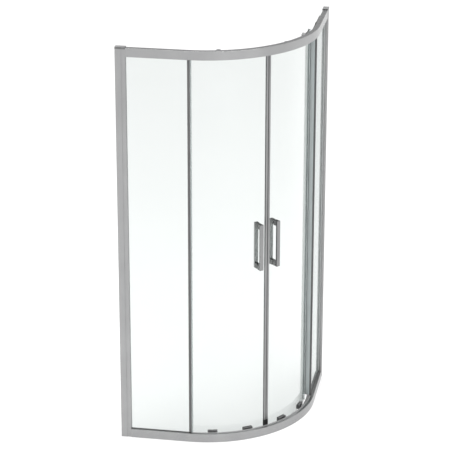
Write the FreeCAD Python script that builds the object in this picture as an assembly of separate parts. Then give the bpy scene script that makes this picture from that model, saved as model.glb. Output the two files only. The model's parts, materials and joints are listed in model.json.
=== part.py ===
"""Quadrant shower enclosure: two fixed flat panels, a quarter-round front and two curved sliding doors.

The origin is on the floor at the middle of the square footprint, +Z is up. The two walls of the room
are the planes X = -half (left wall) and Y = +half (right wall); the round front faces -Y and +X.
Everything is built for the left half and mirrored across the diagonal plane X + Y = 0.
A piece of the rail section is given as (depth, height): depth is measured inwards from the outer face
of the frame, so the same section serves the straight legs and the quarter round.
"""

import FreeCAD, Part
import math
import os

# overall
footprint = 890.0            # wall to outer face, both ways
height = 2010.0              # floor to the top of the wall channel caps
corner_radius = 550.0        # outer face of the quarter round

# rail extrusions
rail_depth = 24.0
rail_height = 43.0
rail_wall = 1.8
rail_drop = 4.0              # the top rail sits this much below the caps
slot_outer = 14.0            # glass slot in the rail, depth of its outer side
slot_wall = 1.4
slot_floor = 13.0            # height of the slot floor above the closed side of the rail
track_width = 18.0           # lip that the rollers run on, inwards from the rail
track_wall = 1.8
bottom_track = 15.0          # running surface above the floor
top_track_drop = 31.0        # running surface below the top of the top rail
bead = 1.5                   # rim at the free edge of the track
bead_rise = 2.0
infill_play = 0.2
infill_height = 9.0

# wall channel, glass profile and caps
channel_reach = 30.0         # out of the wall
channel_wall = 1.6
channel_inset = 1.2          # outer face behind the face of the rails
channel_depth = 25.8
profile_reach = 50.0         # front of the glass profile from the wall
profile_back = 8.0           # back of the glass profile from the wall
profile_wall = 1.6
profile_play = 0.3
pocket_depth = 14.0          # how far the glass pocket goes in
pocket_margin = 1.8          # room for the gasket on each side of the glass
cap_plate = 2.0
cap_skirt = 8.0
wall_hole_radius = 2.75
wall_hole_end = 150.0        # outermost screw holes from either end
wall_hole_middle = 305.0     # inner screw holes from mid-height
side_screw_end = 220.0
side_screw_back = 22.0       # from the wall
side_screw_radius = 2.0
side_screw_head = 4.5
side_screw_head_height = 2.2
side_screw_length = 9.0
connector_length = 30.0
connector_tongue = 12.0
connector_height = 16.0
connector_play = 0.2

# glass
glass = 6.0
fixed_glass_depth = 18.0     # middle of the fixed glass from the outer face
fixed_glass_margin = 1.0     # above the slot floor
gasket_grip = 15.0           # down into the slot
gasket_proud = 1.6
gasket_play = 0.1
gasket_fin = 3.0
edge_seal_width = 11.5
edge_seal_nose = 4.0
edge_seal_cheek = 1.6
edge_seal_gap = 0.5          # to the rails, top and bottom

# doors
door_glass_depth = 52.0      # middle of the door glass from the outer face, at the quarter round
door_bottom = 18.0
door_top_drop = 19.0         # top of the door below the top of the rail
meeting_angle = 45.0
meeting_gap = 0.4            # between the two magnets when closed
magnet_width = 2.0
magnet_depth = 8.0
leading_width = 10.0
leading_depth = 13.0
leading_grip = 7.0
foot_height = 40.6
trailing_width = 12.0
trailing_depth = 15.0
trailing_grip = 7.0
profile_corner = 1.5

# rollers
wheel_plane = 518.0          # radius of the middle of the wheels
wheel_width = 5.6
wheel_play = 0.1             # above the running surface and beside the wheel
axle_play = 0.06             # radial, wheel on its pin
top_wheel_radius = 13.0
top_axle_radius = 4.0
top_trailing_angle = 16.0
top_leading_angle = 33.0
bracket_play = 0.3
bracket_plate = 3.2
bracket_width = 30.0
pin_head = 1.1
pin_head_rim = 1.5
bolt_below_wheel = 26.0
bolt_radius = 3.9
bolt_play = 0.1
bolt_hole_radius = 5.0
bolt_cap_radius = 9.0
bolt_cap_height = 6.0
bolt_nut_radius = 6.5
bolt_nut_height = 3.4
bracket_foot = 12.0          # plate below the bolt
hood_gap = 1.3
hood_wall = 2.9
hood_half_angle = 65.0
bottom_wheel_radius = 11.0
bottom_axle_radius = 3.0
bottom_trailing_angle = 12.6
bottom_leading_angle = 33.0
housing_width = 48.0
housing_depth = 10.7
housing_bottom = 20.0
housing_top = 43.0
housing_roof = 1.8
housing_back = 2.0
slider_width = 16.0
slider_depth = 6.0
slider_height = 10.9
slider_play = 0.4
slider_travel = 5.0
stem_width = 8.0
stem_height = 7.0
stem_lift = 1.4              # underside of the stem above the slider's underside
notch_play = 0.6
pad_width = 22.0
pad_height = 12.0
pad_depth = 5.4
clamp_plate = 3.0
clamp_play = 0.3
lug_width = 5.0
lug_inset = 1.0              # underside of the lugs above the housing's underside
spring_radius = 2.5

# handles
handle_angle = 39.6
handle_height = 998.0
handle_length = 235.0
handle_width = 20.0
handle_bar = 10.0
handle_outer_gap = 19.0      # outer face of the glass to the outer bar
handle_inner_gap = 19.0
post_height = 25.0
washer = 1.5
washer_play = 0.2
washer_margin = 1.0
stud_radius = 4.0
stud_hole_radius = 6.0
stud_play = 0.1
stud_reach = 12.0            # into the inner post
handle_round = 1.5

# stops
stop_length = 16.0
stop_height = 11.0
stop_gap = 1.0               # to the wheel when the door is fully open
stop_margin = 0.3
stop_chamfer = 1.5
door_stop_position = 109.8   # front of the open door's wheel beyond the start of the quarter round

# derived places
half = footprint / 2
centre = FreeCAD.Vector(half - corner_radius, corner_radius - half, 0)
rail_top = height - rail_drop
top_track = rail_top - top_track_drop
channel_top = height - cap_plate
door_top = rail_top - door_top_drop
door_radius = corner_radius - door_glass_depth
door_outer = door_radius + glass / 2
door_inner = door_radius - glass / 2
slot_inner = rail_depth - rail_wall
fixed_outer = fixed_glass_depth - glass / 2
fixed_inner = fixed_glass_depth + glass / 2
up = FreeCAD.Vector(0, 0, 1)


def point(x, y, z=0.0):
    return FreeCAD.Vector(x, y, z)


def face(loop, holes=()):
    """Planar face from a closed loop of points and any hole loops."""
    outer, *inner = [Part.Face(Part.makePolygon(list(edge) + [edge[0]])) for edge in (loop, *holes)]
    return outer.cut(inner).Faces[0] if inner else outer


def block(x, y, z):
    """Box between the low and high values of each pair."""
    corner = point(min(x), min(y), min(z))
    return Part.makeBox(abs(x[1] - x[0]), abs(y[1] - y[0]), abs(z[1] - z[0]), corner)


def mirrored(shape):
    """The same piece on the other side of the enclosure's diagonal."""
    return shape.mirror(FreeCAD.Vector(0, 0, 0), FreeCAD.Vector(1, 1, 0))


def both(shapes):
    return list(shapes) + [mirrored(shape) for shape in shapes]


def arc_degrees(length, radius):
    return math.degrees(length / radius)


def at_angle(shape, degrees):
    """Swings a piece built at the start of the quarter round (facing -Y) along it."""
    return shape.rotated(centre, up, degrees)


def band(section, start, end):
    """Sweeps (radius, height) points round the quarter's axis, from one angle to another."""
    loop = [point(centre.x, centre.y - radius, z) for radius, z in section]
    solid = face(loop).revolve(centre, up, end - start)
    return at_angle(solid, start)


def ring(radii, heights, start, end):
    low, high = radii
    bottom, top = heights
    return band([(low, bottom), (high, bottom), (high, top), (low, top)], start, end)


def radial_block(tangent, radii, heights):
    """Box at the start of the quarter round: along the tangent, across the radius, and up."""
    return block((centre.x + tangent[0], centre.x + tangent[1]),
                 (centre.y - radii[0], centre.y - radii[1]), heights)


def radial_pin(radii, radius, z, tangent=0.0):
    """Round bar on a radial axis, at the start of the quarter round."""
    start = point(centre.x + tangent, centre.y - radii[0], z)
    return Part.makeCylinder(radius, radii[1] - radii[0], start, FreeCAD.Vector(0, -1, 0))


def radial_hexagon(radii, corner, z):
    """Hexagonal prism on a radial axis, at the start of the quarter round."""
    corners = [(math.radians(60 * turn), corner) for turn in range(6)]
    loop = [point(centre.x + reach * math.cos(turn), centre.y - radii[0], z + reach * math.sin(turn))
            for turn, reach in corners]
    return face(loop).extrude(FreeCAD.Vector(0, radii[0] - radii[1], 0))


def along_frame(loop, holes=()):
    """Sweeps a (depth, height) section along the left leg, the quarter round and the right leg."""
    leg_start = -half + profile_reach
    leg_length = centre.x - leg_start

    def leg_points(points):
        return [point(leg_start, -half + depth, z) for depth, z in points]

    def arc_points(points):
        return [point(centre.x, centre.y - corner_radius + depth, z) for depth, z in points]

    leg = face(leg_points(loop), [leg_points(hole) for hole in holes])
    leg = leg.extrude(FreeCAD.Vector(leg_length, 0, 0))
    bend = face(arc_points(loop), [arc_points(hole) for hole in holes]).revolve(centre, up, 90)
    return leg.fuse([bend, mirrored(leg)]).removeSplitter()


def rectangle(depths, heights):
    return [(depths[0], heights[0]), (depths[1], heights[0]), (depths[1], heights[1]), (depths[0], heights[1])]


def bottom_rail():
    track_end = rail_depth + track_width
    loop = [(0, 0), (rail_depth, 0), (rail_depth, bottom_track - track_wall),
            (track_end, bottom_track - track_wall), (track_end, bottom_track + bead_rise),
            (track_end - bead, bottom_track + bead_rise), (track_end - bead, bottom_track),
            (rail_depth, bottom_track), (rail_depth, rail_height), (slot_inner, rail_height),
            (slot_inner, slot_floor), (slot_outer, slot_floor), (slot_outer, rail_height), (0, rail_height)]
    chamber = rectangle((rail_wall, slot_outer - slot_wall), (rail_wall, rail_height - rail_wall))
    return along_frame(loop, [chamber])


def top_rail():
    track_end = rail_depth + track_width
    low = rail_top - rail_height
    loop = [(0, rail_top), (rail_depth, rail_top), (rail_depth, top_track), (track_end - bead, top_track),
            (track_end - bead, top_track + bead_rise), (track_end, top_track + bead_rise),
            (track_end, top_track - track_wall), (rail_depth, top_track - track_wall), (rail_depth, low),
            (slot_inner, low), (slot_inner, rail_top - slot_floor), (slot_outer, rail_top - slot_floor),
            (slot_outer, low), (0, low)]
    chamber = rectangle((rail_wall, slot_outer - slot_wall), (low + rail_wall, rail_top - rail_wall))
    return along_frame(loop, [chamber])


def rail_infills():
    """Filler strips that close the glass slot round the quarter, one in each rail."""
    outer = corner_radius - slot_outer - infill_play
    inner = corner_radius - slot_inner + infill_play
    clear = arc_degrees(edge_seal_width + infill_play, corner_radius)
    strips = []
    for mouth, inward in ((rail_height, -1), (rail_top - rail_height, 1)):
        heights = sorted((mouth, mouth + inward * infill_height))
        strips.append(ring((inner, outer), heights, clear, 90 - clear))
    return strips


def wall_hole_levels():
    return (wall_hole_end, height / 2 - wall_hole_middle, height / 2 + wall_hole_middle, height - wall_hole_end)


def side_screw_levels():
    return side_screw_end, height - side_screw_end


def wall_channel():
    outer = -half + channel_inset
    inner = outer + channel_depth
    back = -half
    tip = -half + channel_reach
    loop = [point(back, outer), point(tip, outer), point(tip, outer + channel_wall),
            point(back + channel_wall, outer + channel_wall), point(back + channel_wall, inner - channel_wall),
            point(tip, inner - channel_wall), point(tip, inner), point(back, inner)]
    channel = face(loop).extrude(FreeCAD.Vector(0, 0, channel_top))
    for z in wall_hole_levels():
        hole = Part.makeCylinder(wall_hole_radius, 3 * channel_wall,
                                 point(back - channel_wall, (outer + inner) / 2, z), FreeCAD.Vector(1, 0, 0))
        channel = channel.cut(hole)
    for z in side_screw_levels():
        hole = Part.makeCylinder(side_screw_radius + connector_play, 3 * channel_wall,
                                 point(back + side_screw_back, inner + channel_wall, z), FreeCAD.Vector(0, -1, 0))
        channel = channel.cut(hole)
    return channel


def profile_depths():
    outer = channel_inset + channel_wall + profile_play
    inner = channel_inset + channel_depth - channel_wall - profile_play
    return outer, inner


def pocket_depths():
    return fixed_outer - pocket_margin, fixed_inner + pocket_margin


def glass_profile():
    """Telescopes in the wall channel and holds the edge of the fixed glass."""
    outer, inner = profile_depths()
    pocket_outer, pocket_inner = pocket_depths()
    back = -half + profile_back
    front = -half + profile_reach
    pocket_back = front - pocket_depth

    def loop(x, depths):
        return [point(x[0], -half + depths[0]), point(x[1], -half + depths[0]),
                point(x[1], -half + depths[1]), point(x[0], -half + depths[1])]

    outline = [point(back, -half + outer), point(front, -half + outer), point(front, -half + pocket_outer),
               point(pocket_back, -half + pocket_outer), point(pocket_back, -half + pocket_inner),
               point(front, -half + pocket_inner), point(front, -half + inner), point(back, -half + inner)]
    chamber = loop((back + profile_wall, pocket_back - profile_wall), (outer + profile_wall, inner - profile_wall))
    front_chamber = loop((pocket_back, front - profile_wall), (outer + profile_wall, pocket_outer - profile_wall))
    profile = face(outline, [chamber, front_chamber]).extrude(FreeCAD.Vector(0, 0, channel_top))
    for low, high in ((0, rail_wall + connector_height + connector_play),
                      (rail_top - rail_wall - connector_height - connector_play, channel_top)):
        window = block((front - 2 * profile_wall, front + profile_wall),
                       (-half + outer + profile_wall, -half + pocket_outer - profile_wall), (low, high))
        profile = profile.cut(window)
    for z in side_screw_levels():
        hole = Part.makeCylinder(side_screw_radius, 3 * profile_wall,
                                 point(-half + side_screw_back, -half + inner + profile_wall, z),
                                 FreeCAD.Vector(0, -1, 0))
        profile = profile.cut(hole)
    return profile


def channel_cap():
    side = profile_reach - connector_play
    depth = channel_inset * 2 + channel_depth
    skirt = channel_inset - infill_play / 2
    plate = block((-half, -half + side), (-half, -half + depth), (channel_top, height))
    outer = block((-half, -half + side), (-half, -half + skirt), (channel_top - cap_skirt, channel_top))
    inner = block((-half, -half + side), (-half + depth - skirt, -half + depth), (channel_top - cap_skirt, channel_top))
    return plate.fuse([outer, inner]).removeSplitter()


def side_screws():
    """Pan-head screws that lock each glass profile in its wall channel, from the shower side."""
    face_y = -half + channel_inset + channel_depth
    screws = []
    for z in side_screw_levels():
        start = point(-half + side_screw_back, face_y, z)
        head = Part.makeCylinder(side_screw_head, side_screw_head_height, start, FreeCAD.Vector(0, 1, 0))
        shank = Part.makeCylinder(side_screw_radius - connector_play / 2, side_screw_length, start,
                                  FreeCAD.Vector(0, -1, 0))
        screws.append(head.fuse(shank).removeSplitter())
    return both(screws)


def rail_connectors():
    """Push-in blocks that join the rail ends to the glass profiles, one in each rail end."""
    outer, _ = profile_depths()
    pocket_outer, _ = pocket_depths()
    front = -half + profile_reach
    depths = (outer + profile_wall + connector_play, pocket_outer - profile_wall - connector_play)
    y = (-half + depths[0], -half + depths[1])
    connectors = []
    for low in (rail_wall + connector_play / 2, rail_top - rail_wall - connector_height - connector_play / 2):
        z = (low, low + connector_height)
        connectors.append(block((front - connector_tongue, front + connector_length), y, z))
    return both(connectors)


def fixed_glass_ends():
    back = -half + profile_reach - pocket_depth + fixed_glass_margin
    return back, centre.x + edge_seal_width - edge_seal_nose


def fixed_glass():
    return block(fixed_glass_ends(), (-half + fixed_outer, -half + fixed_inner),
                 (slot_floor + fixed_glass_margin, rail_top - slot_floor - fixed_glass_margin))


def rail_gaskets(mouth, inward):
    """Outer and inner gasket of one fixed glass in one rail; the outer one has a fin over the rail."""
    x = (-half + profile_reach + gasket_play, centre.x)
    deep = mouth + inward * gasket_grip
    proud = mouth - inward * gasket_proud
    lift = mouth - inward * gasket_play
    tip = slot_outer - gasket_fin
    outer = [(slot_outer + gasket_play, deep), (fixed_outer, deep), (fixed_outer, proud),
             (tip, lift - inward * gasket_proud / 3), (tip, lift), (slot_outer + gasket_play, lift)]
    inner = rectangle((fixed_inner, slot_inner - gasket_play), (deep, proud))
    strips = []
    for section in (outer, inner):
        loop = [point(x[0], -half + depth, z) for depth, z in section]
        strips.append(face(loop).extrude(FreeCAD.Vector(x[1] - x[0], 0, 0)))
    return both(strips)


def side_gaskets():
    """Strips that wedge the fixed glass in the pocket of the glass profile."""
    pocket_outer, pocket_inner = pocket_depths()
    back, _ = fixed_glass_ends()
    x = (back, -half + profile_reach - gasket_play)
    z = (rail_height + gasket_proud + gasket_play, rail_top - rail_height - gasket_proud - gasket_play)
    outer = block(x, (-half + pocket_outer + gasket_play, -half + fixed_outer), z)
    inner = block(x, (-half + fixed_inner, -half + pocket_inner - gasket_play), z)
    return both([outer, inner])


def edge_seals():
    """U-shaped strips on the free vertical edges of the fixed glass."""
    x = (centre.x, centre.x + edge_seal_width)
    nose = x[1] - edge_seal_nose
    outer = -half + fixed_outer - edge_seal_cheek
    inner = -half + fixed_inner + edge_seal_cheek
    chamfer = edge_seal_cheek / 2
    loop = [point(x[0], outer), point(x[1] - chamfer, outer), point(x[1], outer + chamfer),
            point(x[1], inner - chamfer), point(x[1] - chamfer, inner), point(x[0], inner),
            point(x[0], -half + fixed_inner), point(nose, -half + fixed_inner),
            point(nose, -half + fixed_outer), point(x[0], -half + fixed_outer)]
    low = rail_height + gasket_proud + edge_seal_gap
    high = rail_top - rail_height - gasket_proud - edge_seal_gap
    seal = face(loop).extrude(FreeCAD.Vector(0, 0, high - low))
    return both([seal.translated(point(0, 0, low))])


def door_stops():
    """Rubber blocks on the top track that the open doors' rollers run up to."""
    front = centre.x - door_stop_position - stop_gap
    depths = (rail_depth + stop_margin, rail_depth + track_width - bead - stop_margin)
    stop = block((front - stop_length, front), (-half + depths[0], -half + depths[1]),
                 (top_track, top_track + stop_height))
    edges = [edge for edge in stop.Edges if edge.BoundBox.ZMin > top_track + stop_height / 2]
    return both([stop.makeChamfer(stop_chamfer, edges)])


def profile_strip(outline, slot, heights):
    """Vertical strip from a (tangent, radius) outline, less the slot that grips the glass."""
    def loop(points):
        return [point(centre.x + tangent, centre.y - radius, heights[0]) for tangent, radius in points]
    rise = FreeCAD.Vector(0, 0, heights[1] - heights[0])
    return face(loop(outline)).extrude(rise).cut(face(loop(slot)).extrude(rise))


def chamfered(tangent, radii, cut):
    t0, t1 = tangent
    r0, r1 = radii
    return [(t0, r0), (t1 - cut, r0), (t1, r0 + cut), (t1, r1 - cut), (t1 - cut, r1), (t0, r1)]


def grip_slot(tangent):
    play = gasket_play
    return rectangle(tangent, (door_inner - play, door_outer + play))


def leading_edge_angle():
    """Middle of the leading profile of the closed left door."""
    back_off = meeting_gap / 2 + magnet_width + leading_width / 2
    return meeting_angle - arc_degrees(back_off, door_radius)


def leading_profile():
    spread = (door_radius - leading_depth / 2, door_radius + leading_depth / 2)
    w = leading_width / 2
    outline = rectangle((-w, w), spread)
    slot = grip_slot((-w, -w + leading_grip + gasket_play))
    strip = profile_strip(outline, slot, (door_bottom + foot_height, door_top))
    return at_angle(strip, leading_edge_angle())


def leading_foot():
    """Moulded end block under the leading profile."""
    spread = (door_radius - leading_depth / 2, door_radius + leading_depth / 2)
    w = leading_width / 2
    outline = chamfered((-w, w + magnet_width), spread, profile_corner / 2)
    slot = grip_slot((-w, -w + leading_grip + gasket_play))
    strip = profile_strip(outline, slot, (door_bottom, door_bottom + foot_height))
    return at_angle(strip, leading_edge_angle())


def magnet_strip():
    w = leading_width / 2
    spread = (door_radius - magnet_depth / 2, door_radius + magnet_depth / 2)
    strip = radial_block((w, w + magnet_width), spread, (door_bottom + foot_height, door_top))
    return at_angle(strip, leading_edge_angle())


def trailing_angle():
    return arc_degrees(trailing_width / 2, door_radius)


def trailing_profile():
    spread = (door_radius - trailing_depth / 2, door_radius + trailing_depth / 2)
    w = trailing_width / 2
    outline = [(-tangent, radius) for tangent, radius in chamfered((-w, w), spread, profile_corner)]
    slot = grip_slot((w - trailing_grip - gasket_play, w))
    return at_angle(profile_strip(outline, slot, (door_bottom, door_top)), trailing_angle())


def door_glass():
    start = trailing_angle() + arc_degrees(trailing_width / 2 - trailing_grip, door_radius)
    end = leading_edge_angle() - arc_degrees(leading_width / 2 - leading_grip, door_radius)
    pane = ring((door_inner, door_outer), (door_bottom, door_top), start, end)
    through = (door_inner - glass, door_outer + glass)
    cuts = []
    for angle in (top_trailing_angle, top_leading_angle):
        cuts.append(at_angle(radial_pin(through, bolt_hole_radius, bolt_level()), angle))
    for angle in (bottom_trailing_angle, bottom_leading_angle):
        half_notch = lug_outer() + notch_play
        notch = radial_block((-half_notch, half_notch), through, (door_bottom - 1, notch_top()))
        cuts.append(at_angle(notch, angle))
    for z in post_levels():
        cuts.append(at_angle(radial_pin(through, stud_hole_radius, z), handle_angle))
    return pane.cut(cuts)


def top_wheel_level():
    return top_track + top_wheel_radius + wheel_play


def bottom_wheel_level():
    return bottom_track + bottom_wheel_radius + wheel_play


def bolt_level():
    return top_wheel_level() - bolt_below_wheel


def notch_top():
    return slider_bottom() + stem_lift + stem_height + slider_travel + notch_play


def lug_inner():
    return stem_width / 2 + notch_play


def lug_outer():
    return lug_inner() + lug_width


def lug_heights():
    return housing_bottom + lug_inset, notch_top() - notch_play


def slider_bottom():
    return housing_bottom + notch_play


def wheel_faces():
    return wheel_plane - wheel_width / 2, wheel_plane + wheel_width / 2


def wheel(radius, bore, level):
    """Plain solid roller with its bore."""
    return radial_pin(wheel_faces(), radius, level).cut(radial_pin(wheel_faces(), bore, level))


def top_wheel(angle):
    return at_angle(wheel(top_wheel_radius, top_axle_radius + axle_play, top_wheel_level()), angle)


def bottom_wheel(angle):
    return at_angle(wheel(bottom_wheel_radius, bottom_axle_radius + axle_play, bottom_wheel_level()), angle)


def pin_with_head(start, axle_radius, level):
    """Journal of a roller pin and the nut that keeps the roller on."""
    outer = wheel_faces()[1]
    journal = radial_pin((start, outer + wheel_play + pin_head / 2), axle_radius, level)
    head = radial_hexagon((outer + wheel_play, outer + wheel_play + pin_head), axle_radius + pin_head_rim, level)
    return journal.fuse(head)


def top_bracket(angle, hooded):
    """Plate on the outside of the door glass with the pin that its wheel turns on."""
    inner = door_outer + bracket_play
    outer = inner + bracket_plate
    level = top_wheel_level()
    bolt = bolt_level()
    w = bracket_width / 2
    nose = top_wheel_radius - 2.0
    outline = [(-w, bolt - bracket_foot), (w, bolt - bracket_foot), (w, bolt + w / 2), (nose, level),
               (nose / 2, level + nose * 0.87), (-nose / 2, level + nose * 0.87), (-nose, level), (-w, bolt + w / 2)]
    loop = [point(centre.x + tangent, centre.y - inner, z) for tangent, z in outline]
    bracket = face(loop).extrude(FreeCAD.Vector(0, -bracket_plate, 0))
    bracket = bracket.fuse(pin_with_head(inner + bracket_plate / 2, top_axle_radius, level))
    if hooded:
        hood_inner = top_wheel_radius + hood_gap
        hood_outer = hood_inner + hood_wall
        span = (inner + bracket_plate / 2, wheel_faces()[1])
        shell = radial_pin(span, hood_outer, level).cut(radial_pin(span, hood_inner, level))
        sector_top = level + 2 * hood_outer
        spread = 2 * hood_outer * math.tan(math.radians(hood_half_angle))
        wedge = [point(centre.x, centre.y - span[0], level), point(centre.x + spread, centre.y - span[0], sector_top),
                 point(centre.x - spread, centre.y - span[0], sector_top)]
        wedge = face(wedge).extrude(FreeCAD.Vector(0, span[0] - span[1], 0))
        cheek = radial_pin((span[0], outer), hood_outer, level).common(wedge)
        bracket = bracket.fuse([shell.common(wedge), cheek])
    hole = radial_pin((inner - glass, outer + glass), bolt_radius + bolt_play, bolt)
    return at_angle(bracket.cut(hole).removeSplitter(), angle)


def top_brackets():
    return [top_bracket(top_trailing_angle, True), top_bracket(top_leading_angle, False)]


def top_bolts():
    """Through bolts of the top brackets, with a round cap inside and a nut outside."""
    bolts = []
    nut_face = door_outer + bracket_play + bracket_plate + bolt_play
    cap_face = door_inner - bracket_play
    for angle in (top_trailing_angle, top_leading_angle):
        z = bolt_level()
        cap = radial_pin((cap_face - bolt_cap_height, cap_face), bolt_cap_radius, z)
        shank = radial_pin((cap_face - 1, nut_face + bolt_nut_height / 2), bolt_radius, z)
        nut = radial_hexagon((nut_face, nut_face + bolt_nut_height), bolt_nut_radius, z)
        bolts.append(at_angle(cap.fuse([shank, nut]).removeSplitter(), angle))
    return bolts


def housing_faces():
    inner = door_outer + bracket_play
    return inner, inner + housing_depth


def bottom_housing(angle):
    """Moulded body of a bottom roller, open below and outwards round its sliding block."""
    inner, outer = housing_faces()
    half_span = arc_degrees(housing_width / 2, outer)
    body = ring((inner, outer), (housing_bottom, housing_top), -half_span, half_span)
    half_pocket = slider_width / 2 + slider_play
    pocket = radial_block((-half_pocket, half_pocket), (inner + housing_back, outer + glass),
                          (housing_bottom - 1, housing_top - housing_roof))
    half_slot = stem_width / 2 + notch_play
    slot = radial_block((-half_slot, half_slot), (inner - glass, outer), (housing_bottom - 1, notch_top()))
    body = body.cut([pocket, slot])
    return at_angle(body, angle)


def bottom_housings():
    return [bottom_housing(bottom_trailing_angle), bottom_housing(bottom_leading_angle)]


def bottom_clamp(angle):
    """Inner plate of a bottom roller, with two lugs that clip through the glass's notch to the housing."""
    outer = door_inner - bracket_play
    inner = outer - clamp_plate
    half_span = arc_degrees(housing_width / 2, outer)
    plate = ring((inner, outer), (housing_bottom, housing_top), -half_span, half_span)
    plate = plate.cut(radial_block((-lug_inner(), lug_inner()), (inner - glass, outer + glass),
                                   (housing_bottom - 1, notch_top())))
    lugs = []
    for side in (-1, 1):
        spans = sorted((side * arc_degrees(lug_inner(), outer), side * arc_degrees(lug_outer(), outer)))
        lugs.append(ring((outer - clamp_plate / 2, housing_faces()[0]), lug_heights(), *spans))
    return at_angle(plate.fuse(lugs).removeSplitter(), angle)


def bottom_clamps():
    return [bottom_clamp(bottom_trailing_angle), bottom_clamp(bottom_leading_angle)]


def slider_faces():
    inner = housing_faces()[0] + housing_back + slider_play
    return inner, inner + slider_depth


def bottom_slider(angle):
    """Sprung block of a bottom roller: carries the wheel pin, and the release pad on the inside."""
    inner, outer = slider_faces()
    low = slider_bottom()
    block_part = radial_block((-slider_width / 2, slider_width / 2), (inner, outer), (low, low + slider_height))
    pad_outer = door_inner - bracket_play - clamp_plate - clamp_play
    stem_low = low + stem_lift
    stem = radial_block((-stem_width / 2, stem_width / 2), (pad_outer - 1, inner + 1), (stem_low, stem_low + stem_height))
    pad = radial_block((-pad_width / 2, pad_width / 2), (pad_outer - pad_depth, pad_outer), (low, low + pad_height))
    front = centre.y - pad_outer + pad_depth
    edges = [edge for edge in pad.Edges if edge.BoundBox.YMin > front - 0.01]
    pad = pad.makeChamfer(stop_chamfer, edges)
    pin = pin_with_head(outer - 1, bottom_axle_radius, bottom_wheel_level())
    return at_angle(block_part.fuse([stem, pad, pin]).removeSplitter(), angle)


def bottom_spring(angle):
    """Compression spring between the sliding block and the roof of the housing, as a plain closed form."""
    inner, outer = slider_faces()
    low = slider_bottom() + slider_height
    high = housing_top - housing_roof
    axis = point(centre.x, centre.y - (inner + outer) / 2, low)
    return at_angle(Part.makeCylinder(spring_radius, high - low, axis), angle)


def post_levels():
    shift = (handle_length - post_height) / 2
    return handle_height - shift, handle_height + shift


def handle_bar_at(radii):
    bar = radial_block((-handle_width / 2, handle_width / 2), radii,
                       (handle_height - handle_length / 2, handle_height + handle_length / 2))
    upright = [edge for edge in bar.Edges if edge.BoundBox.ZLength > handle_length / 2]
    return at_angle(bar.makeFillet(handle_round, upright), handle_angle)


def handle_outer_bar():
    inner = door_outer + handle_outer_gap
    return handle_bar_at((inner, inner + handle_bar))


def handle_inner_bar():
    outer = door_inner - handle_inner_gap
    return handle_bar_at((outer - handle_bar, outer))


def handle_posts():
    """Four posts; the outer two carry studs that pass through the glass into the inner two."""
    w = handle_width / 2 - handle_round
    posts = []
    outer_face = door_outer + washer
    inner_face = door_inner - washer
    for z in post_levels():
        heights = (z - post_height / 2, z + post_height / 2)
        outer = radial_block((-w, w), (outer_face, door_outer + handle_outer_gap), heights)
        outer = outer.fuse(radial_pin((inner_face - stud_reach, outer_face + 1), stud_radius, z))
        inner = radial_block((-w, w), (door_inner - handle_inner_gap, inner_face), heights)
        inner = inner.cut(radial_pin((inner_face - stud_reach - stud_play, inner_face + 1), stud_radius + stud_play, z))
        posts += [at_angle(outer.removeSplitter(), handle_angle), at_angle(inner, handle_angle)]
    return posts


def handle_washers():
    """Soft pads between the glass and the posts, with a square hole for the stud."""
    pads = []
    w = handle_width / 2 - handle_round - washer_margin
    gap = stud_radius + stud_play
    for z in post_levels():
        heights = (z - post_height / 2 + washer_margin, z + post_height / 2 - washer_margin)
        for faces in ((door_outer + washer_play, door_outer + washer), (door_inner - washer, door_inner - washer_play)):
            pad = radial_block((-w, w), faces, heights)
            hole = radial_block((-gap, gap), (faces[0] - 1, faces[1] + 1), (z - gap, z + gap))
            pads.append(at_angle(pad.cut(hole), handle_angle))
    return pads


def door_nodes():
    """Every piece of the left door, by the end of its node name."""
    return {
        "door_glass": [door_glass()],
        "leading_profile": [leading_profile()],
        "leading_foot": [leading_foot()],
        "magnet_strip": [magnet_strip()],
        "trailing_profile": [trailing_profile()],
        "top_brackets": top_brackets(),
        "top_bolts": top_bolts(),
        "top_wheel_trailing": [top_wheel(top_trailing_angle)],
        "top_wheel_leading": [top_wheel(top_leading_angle)],
        "bottom_housings": bottom_housings(),
        "bottom_clamps": bottom_clamps(),
        "release_slider_trailing": [bottom_slider(bottom_trailing_angle)],
        "release_slider_leading": [bottom_slider(bottom_leading_angle)],
        "release_spring_trailing": [bottom_spring(bottom_trailing_angle)],
        "release_spring_leading": [bottom_spring(bottom_leading_angle)],
        "bottom_wheel_trailing": [bottom_wheel(bottom_trailing_angle)],
        "bottom_wheel_leading": [bottom_wheel(bottom_leading_angle)],
        "handle_outer_bar": [handle_outer_bar()],
        "handle_inner_bar": [handle_inner_bar()],
        "handle_posts": handle_posts(),
        "handle_washers": handle_washers(),
    }


def frame_nodes():
    """The pieces that stand still and that both sides share."""
    return {
        "top_rail": [top_rail()],
        "bottom_rail": [bottom_rail()],
        "rail_infills": rail_infills(),
        "rail_connectors": rail_connectors(),
        "channel_caps": both([channel_cap()]),
        "side_screws": side_screws(),
        "side_gaskets": side_gaskets(),
        "bottom_gaskets": rail_gaskets(rail_height, -1),
        "top_gaskets": rail_gaskets(rail_top - rail_height, 1),
        "edge_seals": edge_seals(),
        "door_stops": door_stops(),
    }


def side_nodes():
    """The fixed pieces of the left side that have a node of their own on each side."""
    return {
        "wall_channel": [wall_channel()],
        "glass_profile": [glass_profile()],
        "fixed_glass": [fixed_glass()],
    }


def write(name, shapes):
    shape = shapes[0] if len(shapes) == 1 else Part.makeCompound(shapes)
    shape.exportStep(f"parts/{name}.step")


def main():
    os.makedirs("parts", exist_ok=True)
    for name, shapes in frame_nodes().items():
        write(name, shapes)
    for group in (side_nodes(), door_nodes()):
        for name, shapes in group.items():
            write(f"left_{name}", shapes)
            write(f"right_{name}", [mirrored(shape) for shape in shapes])


main()
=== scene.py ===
import json
import math
import bmesh
import bpy
from mathutils import Matrix, Vector
from mathutils.geometry import delaunay_2d_cdt


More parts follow.
